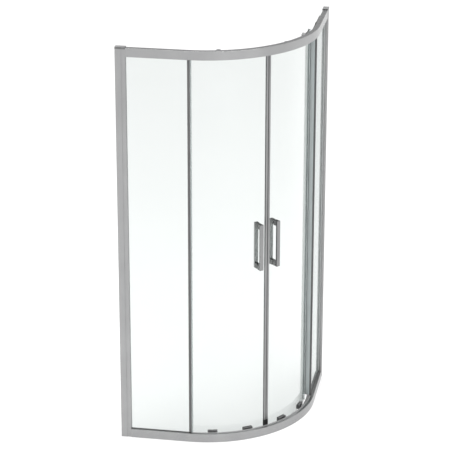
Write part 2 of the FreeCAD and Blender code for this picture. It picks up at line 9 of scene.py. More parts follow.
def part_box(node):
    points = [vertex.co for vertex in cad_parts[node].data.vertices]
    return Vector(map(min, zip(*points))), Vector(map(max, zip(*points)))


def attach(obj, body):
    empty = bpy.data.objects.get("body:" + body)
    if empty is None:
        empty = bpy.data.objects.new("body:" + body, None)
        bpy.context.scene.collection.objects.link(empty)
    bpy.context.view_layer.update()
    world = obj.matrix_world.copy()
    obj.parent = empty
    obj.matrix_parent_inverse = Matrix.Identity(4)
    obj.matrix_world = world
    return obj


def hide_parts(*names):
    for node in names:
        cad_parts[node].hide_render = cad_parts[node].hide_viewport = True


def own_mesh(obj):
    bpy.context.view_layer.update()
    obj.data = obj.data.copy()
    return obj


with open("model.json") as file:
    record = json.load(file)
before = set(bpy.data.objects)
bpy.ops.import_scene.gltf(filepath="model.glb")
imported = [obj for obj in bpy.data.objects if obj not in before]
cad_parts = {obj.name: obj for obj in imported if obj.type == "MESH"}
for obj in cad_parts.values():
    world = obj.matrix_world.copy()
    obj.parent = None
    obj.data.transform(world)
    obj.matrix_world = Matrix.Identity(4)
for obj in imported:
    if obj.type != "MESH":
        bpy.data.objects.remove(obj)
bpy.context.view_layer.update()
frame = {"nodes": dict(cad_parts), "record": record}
print("frame loaded:", len(frame["nodes"]), "nodes")

sides = ("left", "right")
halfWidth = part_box("bottom_rail")[1].x
outerRadius = 0.55
arcCentre = Vector((halfWidth - outerRadius, outerRadius - halfWidth, 0))
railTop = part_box("top_rail")[1].z
quarter = 90
sharpDegrees = 32  # an edge that turns by more than this stays sharp


# the right half is the left half seen in the diagonal x = -y
def toSide(point, side):
    x, y, z = point
    return Vector((x, y, z)) if side == "left" else Vector((-y, -x, z))


def aroundFront(radius, degrees, z, along=0.0):
    turn = math.radians(degrees)
    outward = Vector((math.sin(turn), -math.cos(turn), 0))
    tangent = Vector((math.cos(turn), math.sin(turn), 0))
    return arcCentre + outward * radius + tangent * along + Vector((0, 0, z))


def shadeByAngle(mesh, degrees=sharpDegrees):
    for polygon in mesh.polygons:
        polygon.use_smooth = True
    mesh.set_sharp_from_angle(angle=math.radians(degrees))


def addPiece(name, mesh, body, slotName, material, stands=()):
    piece = bpy.data.objects.new(name, mesh)
    bpy.context.scene.collection.objects.link(piece)
    mesh.materials.clear()
    for one in (material if isinstance(material, (list, tuple)) else [material]):
        mesh.materials.append(one)
    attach(piece, body)
    if stands:
        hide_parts(*stands)
    return piece


def meshFrom(name, points, faces, paints=None):
    mesh = bpy.data.meshes.new(name)
    mesh.from_pydata([tuple(point) for point in points], [], faces)
    if paints:
        mesh.polygons.foreach_set("material_index", paints)
    builder = bmesh.new()
    builder.from_mesh(mesh)
    bmesh.ops.recalc_face_normals(builder, faces=builder.faces)
    builder.to_mesh(mesh)
    builder.free()
    shadeByAngle(mesh)
    return mesh


rounding = {"edgeShare": 0.45, "least": 0.00002}  # most of an edge that a corner takes, and the least radius


# rounds every corner of a flat loop; a corner may bring its own radius as a third number
def roundedLoop(corners, radius, steps=3):
    rounded = []
    count = len(corners)
    for index, corner in enumerate(corners):
        here = Vector(corner[:2])
        ahead = Vector(corners[(index + 1) % count][:2]) - here
        behind = Vector(corners[index - 1][:2]) - here
        own = corner[2] if len(corner) > 2 else radius
        opening = ahead.angle(behind)
        cut = own / math.tan(opening / 2)
        cut = min(cut, rounding["edgeShare"] * ahead.length, rounding["edgeShare"] * behind.length)
        own = cut * math.tan(opening / 2)
        if own < rounding["least"]:
            rounded.append(here)
            continue
        halfway = (ahead.normalized() + behind.normalized()).normalized()
        middle = here + halfway * (own / math.sin(opening / 2))
        first = here + behind.normalized() * cut - middle
        last = here + ahead.normalized() * cut - middle
        sweepAngle = first.angle_signed(last)
        for step in range(steps + 1):
            turn = -sweepAngle * step / steps
            cosine, sine = math.cos(turn), math.sin(turn)
            spoke = Vector((first.x * cosine - first.y * sine, first.x * sine + first.y * cosine))
            rounded.append(middle + spoke)
    return rounded


# carries a flat loop through a row of places; each place turns a loop point into a point in the room
def sweepLoop(name, loop, places):
    count = len(loop)
    points = [place(spot) for place in places for spot in loop]
    faces = []
    for row in range(len(places) - 1):
        for index in range(count):
            following = (index + 1) % count
            faces.append((row * count + index, row * count + following,
                          (row + 1) * count + following, (row + 1) * count + index))
    faces.append(tuple(range(count)))
    faces.append(tuple((len(places) - 1) * count + index for index in range(count)))
    return meshFrom(name, points, faces)


# turns a closed (radius, depth) profile once round its axis
def turnedMesh(name, profile, place, paintOf, steps=72):
    count = len(profile)
    points = [place(step * 2 * math.pi / steps, *spot) for step in range(steps) for spot in profile]
    faces, paints = [], []
    for step in range(steps):
        base, after = step * count, (step + 1) % steps * count
        for index in range(count):
            following = (index + 1) % count
            faces.append((base + index, base + following, after + following, after + index))
            paints.append(paintOf(profile[index], profile[following]))
    return meshFrom(name, points, faces, paints)


def evenShading(piece, weight=100):
    weighting = piece.modifiers.new("evenShading", "WEIGHTED_NORMAL")
    weighting.keep_sharp = True
    weighting.weight = weight


nodeBody = {}
for bodyName, bodyNodes in frame["record"]["behaviour"]["bodies"].items():
    for oneNode in bodyNodes:
        nodeBody[oneNode] = bodyName

softening = {"weld": 0.00001, "flatDegrees": 0.5, "smoothDegrees": 40}  # limits for a copy of a CAD mesh


# a copy of a small CAD piece with its edges broken the way a mould or a file leaves them
def softened(nodeName, slotName, materials, edge, steps=2, paintOf=None):
    builder = bmesh.new()
    builder.from_mesh(frame["nodes"][nodeName].data)
    bmesh.ops.remove_doubles(builder, verts=builder.verts, dist=softening["weld"])
    bmesh.ops.dissolve_limit(builder, angle_limit=math.radians(softening["flatDegrees"]), verts=builder.verts,
                             edges=builder.edges)
    least = math.radians(sharpDegrees)
    sharp = [one for one in builder.edges if len(one.link_faces) == 2 and one.calc_face_angle(0) > least]
    bmesh.ops.bevel(builder, geom=sharp, offset=edge, offset_type="OFFSET", segments=steps, profile=0.5,
                    affect="EDGES", clamp_overlap=True)
    bmesh.ops.recalc_face_normals(builder, faces=builder.faces)
    mesh = bpy.data.meshes.new(nodeName + "Soft")
    builder.to_mesh(mesh)
    builder.free()
    shadeByAngle(mesh, softening["smoothDegrees"])
    piece = addPiece(nodeName + "Soft", mesh, nodeBody[nodeName], slotName, materials, [nodeName])
    if paintOf:
        for polygon in mesh.polygons:
            polygon.material_index = paintOf(polygon.center)
    evenShading(piece)


# a material that starts as one Principled shader, with its fixed values on the shader itself
def startMaterial(name, values):
    material = bpy.data.materials.new(name)
    material.use_nodes = True
    shader = material.node_tree.nodes["Principled BSDF"]
    for socket, value in values.items():
        shader.inputs[socket].default_value = value
    return material, shader


def addNode(material, kind, **settings):
    node = material.node_tree.nodes.new(kind)
    for key, value in settings.items():
        if key in node.inputs:
            node.inputs[key].default_value = value
        else:
            setattr(node, key, value)
    return node


def join(material, source, target):
    material.node_tree.links.new(source, target)


# noise in object space, drawn out along the axes that get a small scale
def grainOf(material, scale, detail, roughness=0.6):
    place = addNode(material, "ShaderNodeTexCoord")
    stretch = addNode(material, "ShaderNodeMapping")
    stretch.inputs["Scale"].default_value = scale
    noise = addNode(material, "ShaderNodeTexNoise", Scale=1.0, Detail=detail, Roughness=roughness)
    join(material, place.outputs["Object"], stretch.inputs["Vector"])
    join(material, stretch.outputs["Vector"], noise.inputs["Vector"])
    return noise.outputs["Fac"]


def rampOf(material, factor, low, high, start=0.3, end=0.7):
    ramp = addNode(material, "ShaderNodeValToRGB")
    ramp.color_ramp.elements[0].position = start
    ramp.color_ramp.elements[1].position = end
    ramp.color_ramp.elements[0].color = low
    ramp.color_ramp.elements[1].color = high
    join(material, factor, ramp.inputs["Fac"])
    return ramp.outputs["Color"]


def bumpOf(material, height, shader, strength, distance):
    bump = addNode(material, "ShaderNodeBump", Strength=strength, Distance=distance)
    join(material, height, bump.inputs["Height"])
    join(material, bump.outputs["Normal"], shader.inputs["Normal"])


greyCast = (1, 1.005, 1.012)  # every grey has a trace of blue


def grey(value):
    return tuple(value * cast for cast in greyCast) + (1,)


# anodised aluminium and chrome: rough gives the range of roughness along the drawn lines
metalLook = {
    "gloss": 0.5,
    "cloud": (9, 9, 5),
    "bump": 0.08,
    "bumpDepth": 0.0001,
    "anodisedFrame": {"tone": (0.35, 0.39), "rough": (0.36, 0.44), "lines": (2600, 2600, 6)},
    "anodisedRail": {"tone": (0.35, 0.39), "rough": (0.24, 0.31), "lines": (900, 900, 2400)},
    "anodisedDoor": {"tone": (0.27, 0.32), "rough": (0.28, 0.36), "lines": (2600, 2600, 6)},
    "satinChrome": {"tone": (0.25, 0.29), "rough": (0.18, 0.26), "lines": (2600, 2600, 6)},
    # painted light: the inner handle bar is a lighter copy of the same satin chrome
    "satinChromeInnerPaintedLight": {"tone": (0.33, 0.38), "rough": (0.2, 0.28), "lines": (2600, 2600, 6)},
    # painted shade: the handle posts are a darker copy of the same satin chrome
    "satinChromePostPaintedShade": {"tone": (0.17, 0.21), "rough": (0.2, 0.28), "lines": (2600, 2600, 6)},
    "stainlessSteel": {"tone": (0.42, 0.5), "rough": (0.22, 0.3), "lines": (900, 900, 900)},
}


# satin metal: drawn lines along the profile and a faint cloudy tone
def satinMetal(name):
    look = metalLook[name]
    material, shader = startMaterial(name, {"Metallic": 1.0, "Specular IOR Level": metalLook["gloss"]})
    tones = [grey(value) for value in look["tone"]]
    cloud = grainOf(material, metalLook["cloud"], detail=3.0)
    join(material, rampOf(material, cloud, *tones), shader.inputs["Base Color"])
    roughness = [grey(value) for value in look["rough"]]
    drawn = grainOf(material, look["lines"], detail=2.0)
    join(material, rampOf(material, drawn, *roughness), shader.inputs["Roughness"])
    bumpOf(material, drawn, shader, metalLook["bump"], metalLook["bumpDepth"])
    return material


plasticLook = {
    "gloss": 0.45,
    "cloud": (30, 30, 30),
    "bumpDepth": 0.00008,
    "greyPlastic": {"tone": (0.125, 0.155), "rough": 0.45, "grain": 2500, "bump": 0.15},
    "capPlastic": {"tone": (0.13, 0.165), "rough": 0.45, "grain": 2500, "bump": 0.15},
    "infillPlastic": {"tone": (0.26, 0.30), "rough": 0.4, "grain": 2500, "bump": 0.15},
    "blackPlastic": {"tone": (0.018, 0.026), "rough": 0.4, "grain": 2500, "bump": 0.15},
    "wheelPlastic": {"tone": (0.30, 0.36), "rough": 0.3, "grain": 1200, "bump": 0.05},
}


# moulded plastic: fine spark-eroded grain
def mouldedPlastic(name):
    look = plasticLook[name]
    values = {"Roughness": look["rough"], "Specular IOR Level": plasticLook["gloss"]}
    material, shader = startMaterial(name, values)
    tones = [grey(value) for value in look["tone"]]
    cloud = grainOf(material, plasticLook["cloud"], detail=2.0)
    join(material, rampOf(material, cloud, *tones), shader.inputs["Base Color"])
    grain = grainOf(material, (look["grain"],) * 3, detail=2.0)
    bumpOf(material, grain, shader, look["bump"], plasticLook["bumpDepth"])
    return material


# rubber and soft plastic: clear lets light through, and cool takes a little red away
sealLook = {
    "ior": 1.42,
    "cloud": (60, 60, 8),
    "streaks": (1800, 1800, 40),
    "bump": 0.1,
    "bumpDepth": 0.0001,
    "greyRubber": {"tone": (0.10, 0.125), "rough": 0.5, "clear": 0.0, "cool": 1.0},
    "clearRubber": {"tone": (0.62, 0.68), "rough": 0.35, "clear": 0.4, "cool": 1.0},
    "blackRubber": {"tone": (0.02, 0.03), "rough": 0.6, "clear": 0.0, "cool": 1.0},
    # painted light: the side gaskets are a much lighter copy of the grey rubber, lifting the shade in their
    # gap
    "sideRubberPaintedLight": {"tone": (0.74, 0.80), "rough": 0.5, "clear": 0.0, "cool": 0.96},
    "fixedFinPlastic": {"tone": (0.56, 0.62), "rough": 0.35, "clear": 0.35, "cool": 0.91},
    # painted shade: the door's fin is a darker copy of the clear trailing plastic
    "doorFinPaintedShadePlastic": {"tone": (0.42, 0.48), "rough": 0.35, "clear": 0.25, "cool": 0.92},
    "magneticStrip": {"tone": (0.09, 0.12), "rough": 0.5, "clear": 0.0, "cool": 1.0},
    "trailingPlastic": {"tone": (0.84, 0.90), "rough": 0.14, "clear": 0.92, "cool": 0.95},
}


def softSeal(name):
    look = sealLook[name]
    values = {"Roughness": look["rough"], "Transmission Weight": look["clear"], "IOR": sealLook["ior"]}
    material, shader = startMaterial(name, values)
    tones = [(value * look["cool"], value, value, 1) for value in look["tone"]]
    cloud = grainOf(material, sealLook["cloud"], detail=2.0)
    join(material, rampOf(material, cloud, *tones), shader.inputs["Base Color"])
    streaks = grainOf(material, sealLook["streaks"], detail=1.0)
    bumpOf(material, streaks, shader, sealLook["bump"], sealLook["bumpDepth"])
    return material


glassLook = {
    "ior": 1.5,
    "cloud": (2, 2, 1.2),
    "waves": (5, 5, 4),
    "bumpDepth": 0.0004,
    "toughenedGlass": {"tint": ((0.762, 0.79, 0.78, 1), (0.776, 0.802, 0.793, 1)),
                       "rough": 0.0, "bump": 0.02},
    "groundGlassEdge": {"tint": ((0.30, 0.46, 0.42, 1), (0.42, 0.58, 0.53, 1)), "rough": 0.25, "bump": 0.1},
    # painted shade: the colour that glass seen at a flat angle is multiplied towards, and the facing range it
    # spans
    "grazingPaintedShade": (0.09, 0.15, 0.14, 1),
    "grazingFrom": 0.66,
    "grazingTo": 0.92,
}


# toughened glass: painted shade makes it darker and greener where it is seen at a flat angle, and the furnace
# leaves a faint wave
def clearGlass(name, paintsGrazingShade):
    look = glassLook[name]
    values = {"Roughness": look["rough"], "Transmission Weight": 1.0, "IOR": glassLook["ior"]}
    material, shader = startMaterial(name, values)
    cloud = grainOf(material, glassLook["cloud"], detail=1.0)
    colour = rampOf(material, cloud, *look["tint"])
    # painted shade: the glass colour is multiplied towards a dark green where the surface is seen at a flat
    # angle
    if paintsGrazingShade:
        slant = addNode(material, "ShaderNodeLayerWeight", Blend=0.5)
        shade = rampOf(material, slant.outputs["Facing"], (1, 1, 1, 1), glassLook["grazingPaintedShade"],
                       glassLook["grazingFrom"], glassLook["grazingTo"])
        paintedShadeMix = addNode(material, "ShaderNodeMix", data_type="RGBA", blend_type="MULTIPLY")
        paintedShadeMix.inputs["Factor"].default_value = 1.0
        join(material, colour, paintedShadeMix.inputs[6])  # inputs 6 and 7 and output 2 are the mix's colours
        join(material, shade, paintedShadeMix.inputs[7])
        colour = paintedShadeMix.outputs[2]
    join(material, colour, shader.inputs["Base Color"])
    waves = grainOf(material, glassLook["waves"], detail=0.0)
    bumpOf(material, waves, shader, look["bump"], glassLook["bumpDepth"])
    return material


frameMetal = satinMetal("anodisedFrame")
railMetal = satinMetal("anodisedRail")
doorMetal = satinMetal("anodisedDoor")
handleMetal = satinMetal("satinChrome")
innerBarLitMetal = satinMetal("satinChromeInnerPaintedLight")
postShadedMetal = satinMetal("satinChromePostPaintedShade")
screwSteel = satinMetal("stainlessSteel")
paneGlass = clearGlass("toughenedGlass", True)
paneEdge = clearGlass("groundGlassEdge", False)
greyPlastic = mouldedPlastic("greyPlastic")
capPlastic = mouldedPlastic("capPlastic")
infillPlastic = mouldedPlastic("infillPlastic")
blackPlastic = mouldedPlastic("blackPlastic")
wheelPlastic = mouldedPlastic("wheelPlastic")
greyRubber = softSeal("greyRubber")
clearRubber = softSeal("clearRubber")
blackRubber = softSeal("blackRubber")
sideRubberPaintedLight = softSeal("sideRubberPaintedLight")
fixedFinPlastic = softSeal("fixedFinPlastic")
doorFinPaintedShadePlastic = softSeal("doorFinPaintedShadePlastic")
magnetRubber = softSeal("magneticStrip")
trailingPlastic = softSeal("trailingPlastic")
print("materials made")

slotFinish = {
    "frame_aluminium": frameMetal,
    "door_aluminium": doorMetal,
    "handle_chrome": handleMetal,
    "steel": screwSteel,
    "glass": paneGlass,
    "clear_plastic": trailingPlastic,
    "grey_plastic": greyPlastic,
    "infill_plastic": infillPlastic,
    "black_plastic": blackPlastic,
    "wheel_plastic": wheelPlastic,
    "grey_rubber": greyRubber,
    "clear_rubber": clearRubber,
    "black_rubber": blackRubber,
    "magnet_rubber": magnetRubber,
}
nodeSlot = {part["node"]: part["material_slot"] for part in frame["record"]["subparts"]}
for nodeName, node in frame["nodes"].items():
    node.data.materials.clear()
    node.data.materials.append(slotFinish[nodeSlot[nodeName]])

rail = {
    "depth": 0.024, "height": 0.043, "wall": 0.0018, "slotOuter": 0.014, "slotFloor": 0.013,
    "trackWidth": 0.018, "trackWall": 0.0018, "bottomTrack": 0.015, "topTrackDrop": 0.031,
    "bead": 0.0015, "beadRise": 0.002, "profileReach": 0.050, "faceRound": 0.0011, "edgeRound": 0.0005,
    "legStep": 0.02,
}


# bottom rail section as (depth inwards from the outer face, height), from the floor up
def railSection():
    depth, height = rail["depth"], rail["height"]
    trackEnd, slotInner = depth + rail["trackWidth"], depth - rail["wall"]
    slotOuter, slotFloor = rail["slotOuter"], rail["slotFloor"]
    track, face, edge = rail["bottomTrack"], rail["faceRound"], rail["edgeRound"]
    underTrack, beadTop = track - rail["trackWall"], track + rail["beadRise"]
    beadInner = trackEnd - rail["bead"]
    return [(0, 0, edge), (depth, 0, edge), (depth, underTrack, edge), (trackEnd, underTrack, edge),
            (trackEnd, beadTop, edge), (beadInner, beadTop, edge), (beadInner, track, edge),
            (depth, track, edge), (depth, height, edge), (slotInner, height, edge),
            (slotInner, slotFloor, edge), (slotOuter, slotFloor, edge), (slotOuter, height, edge),
            (0, height, face)]


# the same extrusion stands on its head at the top, with its track further from the closed side; its upper
# outer edge is sharper
def topRailSection():
    depth, low = rail["depth"], railTop - rail["height"]
    trackEnd, slotInner = depth + rail["trackWidth"], depth - rail["wall"]
    slotOuter, slotFloor = rail["slotOuter"], railTop - rail["slotFloor"]
    track, face, edge = railTop - rail["topTrackDrop"], rail["faceRound"], rail["edgeRound"]
    underTrack, beadTop = track - rail["trackWall"], track + rail["beadRise"]
    beadInner = trackEnd - rail["bead"]
    return [(0, railTop, edge), (depth, railTop, edge), (depth, track, edge), (beadInner, track, edge),
            (beadInner, beadTop, edge), (trackEnd, beadTop, edge), (trackEnd, underTrack, edge),
            (depth, underTrack, edge), (depth, low, edge), (slotInner, low, edge),
            (slotInner, slotFloor, edge), (slotOuter, slotFloor, edge), (slotOuter, low, edge),
            (0, low, face)]


def legPlace(along, side="left"):
    return lambda spot: toSide((along, -halfWidth + spot[0], spot[1]), side)


def bendPlace(degrees):
    return lambda spot: aroundFront(outerRadius - spot[0], degrees, spot[1])


def framePlaces():
    start = -halfWidth + rail["profileReach"]
    places = [legPlace(start), legPlace(start + rail["legStep"])]
    places += [bendPlace(degree) for degree in range(quarter + 1)]
    return places + [legPlace(start + rail["legStep"], "right"), legPlace(start, "right")]


for railName, section in (("bottom_rail", railSection()), ("top_rail", topRailSection())):
    mesh = sweepLoop(railName + "Extrusion", roundedLoop(section, 0), framePlaces())
    evenShading(addPiece(railName + "Extrusion", mesh, "frame", "frame_aluminium", railMetal, [railName]))

infill = {
    "play": 0.0002, "height": 0.009, "sealWidth": 0.0115, "groove": 0.0012, "grooveDepth": 0.0007,
    "mouthRound": 0.0005, "edgeRound": 0.0001, "steps": 88,
}
clearDegrees = math.degrees((infill["sealWidth"] + infill["play"]) / outerRadius)
infillOuter = rail["slotOuter"] + infill["play"]
infillInner = rail["depth"] - rail["wall"] - infill["play"]
for infillName, mouth, inward in (("bottomInfill", rail["height"], -1),
                                  ("topInfill", railTop - rail["height"], 1)):
    middle = (infillOuter + infillInner) / 2
    deep = mouth + inward * infill["height"]
    mouthRound = infill["mouthRound"]
    section = [(infillOuter, mouth, mouthRound), (middle - infill["groove"], mouth),
               (middle, mouth + inward * infill["grooveDepth"]), (middle + infill["groove"], mouth),
               (infillInner, mouth, mouthRound), (infillInner, deep), (infillOuter, deep)]
    span = quarter - 2 * clearDegrees
    places = [bendPlace(clearDegrees + span * step / infill["steps"]) for step in range(infill["steps"] + 1)]
    mesh = sweepLoop(infillName, roundedLoop(section, infill["edgeRound"]), places)
    stands = ["rail_infills"] if infillName == "bottomInfill" else ()  # both strips stand for one node
    addPiece(infillName, mesh, "frame", "infill_plastic", infillPlastic, stands)

gasket = {
    "play": 0.0001, "grip": 0.015, "proud": 0.0016, "fin": 0.003, "fixedOuter": 0.015, "fixedInner": 0.021,
    "lipRound": 0.0004, "tipRound": 0.0002, "innerRound": 0.0005, "edgeRound": 0.0001,
}
for gasketName, slotName, material, mouth, inward in (
        ("bottom_gaskets", "grey_rubber", greyRubber, rail["height"], -1),
        ("top_gaskets", "clear_rubber", clearRubber, railTop - rail["height"], 1)):
    deep, proud = mouth + inward * gasket["grip"], mouth - inward * gasket["proud"]
    lift, tip = mouth - inward * gasket["play"], rail["slotOuter"] - gasket["fin"]
    outerEdge = rail["slotOuter"] + gasket["play"]
    outerStrip = [(outerEdge, deep), (gasket["fixedOuter"], deep),
                  (gasket["fixedOuter"], proud, gasket["lipRound"]),
                  (tip, lift - inward * gasket["proud"] / 3, gasket["tipRound"]), (tip, lift),
                  (outerEdge, lift)]
    innerEdge = rail["depth"] - rail["wall"] - gasket["play"]
    innerStrip = [(gasket["fixedInner"], deep), (innerEdge, deep), (innerEdge, proud, gasket["innerRound"]),
                  (gasket["fixedInner"], proud, gasket["tipRound"])]
    start = -halfWidth + rail["profileReach"] + gasket["play"]
    for side in sides:
        for stripName, section in (("Outer", outerStrip), ("Inner", innerStrip)):
            name = gasketName + stripName + side.capitalize()
            places = [legPlace(start, side), legPlace(arcCentre.x, side)]
            mesh = sweepLoop(name, roundedLoop(section, gasket["edgeRound"]), places)
            stands = [gasketName] if (side, stripName) == ("left", "Outer") else ()
            addPiece(name, mesh, "frame", slotName, material, stands)
print("rails, infill strips and gaskets swept")

flatCut = {"level": 1e-7, "apart": 1e-4, "fromRim": 0.0012, "weld": 1e-8, "leastTurn": 0.4}  # limits of a cut


# cuts a loop's straight edges where the given columns and rows cross them
def splitAt(loop, columns, rows):
    split = []
    for index, here in enumerate(loop):
        there = loop[(index + 1) % len(loop)]
        split.append(here)
        if abs(here.y - there.y) < flatCut["level"]:
            low, high = min(here.x, there.x) + flatCut["apart"], max(here.x, there.x) - flatCut["apart"]
            between = [u for u in columns if low < u < high]
            split += [Vector((u, here.y)) for u in sorted(between, reverse=there.x < here.x)]
        elif abs(here.x - there.x) < flatCut["level"]:
            low, high = min(here.y, there.y) + flatCut["apart"], max(here.y, there.y) - flatCut["apart"]
            between = [v for v in rows if low < v < high]
            split += [Vector((here.x, v)) for v in sorted(between, reverse=there.y < here.y)]
    return split


# moves a counter-clockwise loop into its own material by an even amount
def insetLoop(loop, amount):
    moved = []
    for index, here in enumerate(loop):
        ahead = (loop[(index + 1) % len(loop)] - here).normalized()
        behind = (here - loop[index - 1]).normalized()
        normalAhead, normalBehind = Vector((-ahead.y, ahead.x)), Vector((-behind.y, behind.x))
        middle = (normalAhead + normalBehind).normalized()
        moved.append(here + middle * (amount / max(flatCut["leastTurn"], middle.dot(normalAhead))))
    return moved


# counts the loop's edges that lie to the right of the point
def insideLoop(u, v, loop):
    inside = False
    for index, here in enumerate(loop):
        there = loop[index - 1]
        if (here.y > v) != (there.y > v):
            crossing = (there.x - here.x) * (v - here.y) / (there.y - here.y) + here.x
            if u < crossing:
                inside = not inside
    return inside


def nearLoop(u, v, loop, reach):
    spot = Vector((u, v))
    for index, here in enumerate(loop):
        along = here - loop[index - 1]
        share = max(0.0, min(1.0, (spot - loop[index - 1]).dot(along) / along.length_squared))
        if (loop[index - 1] + along * share - spot).length < reach:
            return True
    return False


# rims are the outline and then the holes
def isFree(u, v, rims):
    if not insideLoop(u, v, rims[0]) or any(insideLoop(u, v, rim) for rim in rims[1:]):
        return False
    return not any(nearLoop(u, v, rim, flatCut["fromRim"]) for rim in rims)


# a plate cut from a flat pattern with holes, arrised all round, then laid where place puts it
def cutPane(name, outline, holes, thickness, arris, columns, rows, place):
    outline = splitAt(outline, columns, rows)
    loops = [outline] + [list(reversed(hole)) for hole in holes]
    rims = [insetLoop(loop, arris) for loop in loops]
    flat, edges, starts = [], [], []
    for rim in rims:
        starts.append(len(flat))
        edges += [(len(flat) + index, len(flat) + (index + 1) % len(rim)) for index in range(len(rim))]
        flat += rim
    for u in columns:
        for v in rows:
            if isFree(u, v, rims):
                flat.append(Vector((u, v)))
    spots, _, triangles, origins, _, _ = delaunay_2d_cdt(flat, edges, [], 1, flatCut["weld"])
    found = {}
    for index, sources in enumerate(origins):
        for source in sources:
            found[source] = index
    kept = []
    for triangle in triangles:
        middle = sum((spots[index] for index in triangle), Vector((0, 0))) / 3
        if not any(insideLoop(middle.x, middle.y, rim) for rim in rims[1:]):
            kept.append(tuple(triangle))
    half = thickness / 2
    points = [place(spot.x, spot.y, half) for spot in spots]
    points += [place(spot.x, spot.y, -half) for spot in spots]
    faces = kept + [tuple(len(spots) + index for index in triangle) for triangle in kept]
    paints = [0] * len(faces)
    for loop, start in zip(loops, starts):
        base, count = len(points), len(loop)
        points += [place(spot.x, spot.y, half - arris) for spot in loop]
        points += [place(spot.x, spot.y, arris - half) for spot in loop]
        for index in range(count):
            following = (index + 1) % count
            front, frontNext = found[start + index], found[start + following]
            back, backNext = len(spots) + front, len(spots) + frontNext
            upper, upperNext = base + index, base + following
            lower, lowerNext = base + count + index, base + count + following
            faces.append((front, frontNext, upperNext, upper))
            faces.append((upper, upperNext, lowerNext, lower))
            faces.append((lower, lowerNext, backNext, back))
            paints += [1, 1, 1]
    return meshFrom(name, points, faces, paints)


# the holes are cut as loops of their own
def circleLoop(u, v, radius, steps=28):
    turns = [turn * 2 * math.pi / steps for turn in range(steps)]
    return [Vector((u + radius * math.cos(turn), v + radius * math.sin(turn))) for turn in turns]


def evenSteps(low, high, step):
    count = max(1, round((high - low) / step))
    return [low + (high - low) * index / count for index in range(1, count)]


# where each door's rollers stand along the quarter round
rollerDegrees = {
    "top": {"trailing": 16.0, "leading": 33.0},
    "bottom": {"trailing": 12.6, "leading": 33.0},
}

doorPane = {
    "radius": 0.498, "thickness": 0.006, "arris": 0.0009, "bottom": 0.018, "top": 1.987, "corner": 0.001,
    "startDegrees": 0.5752, "endDegrees": 44.4015, "boltHeight": 1.9621, "boltHole": 0.005,
    "notchHalf": 0.0102, "notchTop": 0.0346, "notchRound": 0.003, "roundSteps": 4,
    "studDegrees": 39.6, "studHeights": (0.893, 1.103), "studHole": 0.006,
    "columnStep": 0.009, "rowStep": 0.05,
}


def arcLength(degrees):
    return math.radians(degrees) * doorPane["radius"]


doorLeft, doorRight = arcLength(doorPane["startDegrees"]), arcLength(doorPane["endDegrees"])


def doorOutline():
    low, high, corner = doorPane["bottom"], doorPane["top"], doorPane["corner"]
    corners = [(doorLeft, low, corner)]
    for degrees in rollerDegrees["bottom"].values():
        middle, half = arcLength(degrees), doorPane["notchHalf"]
        corners += [(middle - half, low, corner), (middle - half, doorPane["notchTop"]),
                    (middle + half, doorPane["notchTop"]), (middle + half, low, corner)]
    corners += [(doorRight, low, corner), (doorRight, high, corner), (doorLeft, high, corner)]
    return roundedLoop(corners, doorPane["notchRound"], doorPane["roundSteps"])


boltSpots = [(arcLength(degrees), doorPane["boltHeight"]) for degrees in rollerDegrees["top"].values()]
studSpots = [(arcLength(doorPane["studDegrees"]), height) for height in doorPane["studHeights"]]
doorHoles = [circleLoop(*spot, doorPane["boltHole"]) for spot in boltSpots]
doorHoles += [circleLoop(*spot, doorPane["studHole"]) for spot in studSpots]
columns = evenSteps(doorLeft, doorRight, doorPane["columnStep"])
rows = evenSteps(doorPane["bottom"], doorPane["top"], doorPane["rowStep"])
for side in sides:
    def onCylinder(u, v, depth, side=side):
        degrees = math.degrees(u / doorPane["radius"])
        return toSide(aroundFront(doorPane["radius"] + depth, degrees, v), side)

    mesh = cutPane(side + "DoorPane", doorOutline(), doorHoles, doorPane["thickness"], doorPane["arris"],
                   columns, rows, onCylinder)
    addPiece(side + "DoorPane", mesh, side + "_door", "glass", [paneGlass, paneEdge], [side + "_door_glass"])

fixedPane = {"thickness": 0.006, "arris": 0.0009, "corner": 0.0015, "columnStep": 0.05, "rowStep": 0.25}
fixedLow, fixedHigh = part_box("left_fixed_glass")
fixedMiddle = (fixedLow.y + fixedHigh.y) / 2
fixedCorners = [(fixedLow.x, fixedLow.z), (fixedHigh.x, fixedLow.z), (fixedHigh.x, fixedHigh.z),
                (fixedLow.x, fixedHigh.z)]
columns = evenSteps(fixedLow.x, fixedHigh.x, fixedPane["columnStep"])
rows = evenSteps(fixedLow.z, fixedHigh.z, fixedPane["rowStep"])
for side in sides:
    def onWall(u, v, depth, side=side):
        return toSide((u, fixedMiddle - depth, v), side)

    outline = roundedLoop(fixedCorners, fixedPane["corner"])
    mesh = cutPane(side + "FixedPane", outline, [], fixedPane["thickness"], fixedPane["arris"],
                   columns, rows, onWall)
    addPiece(side + "FixedPane", mesh, "frame", "glass", [paneGlass, paneEdge], [side + "_fixed_glass"])
print("glass cut and laid")

edgeBreak = {
    "channel": 0.0004, "profile": 0.0006, "cap": 0.0009, "seal": 0.0004, "stop": 0.0006,
    "doorProfile": 0.0009, "foot": 0.0008, "magnet": 0.0003, "bracket": 0.0005, "bolt": 0.0005,
    "housing": 0.0007, "clamp": 0.0005, "slider": 0.0004, "bar": 0.0009, "post": 0.0006, "washer": 0.0002,
}
softened("channel_caps", "grey_plastic", capPlastic, edgeBreak["cap"])
softened("edge_seals", "grey_rubber", greyRubber, edgeBreak["seal"])
# painted light: the side gaskets take the lighter copy of the grey rubber
softened("side_gaskets", "grey_rubber", sideRubberPaintedLight, edgeBreak["seal"])
softened("door_stops", "black_rubber", blackRubber, edgeBreak["stop"])

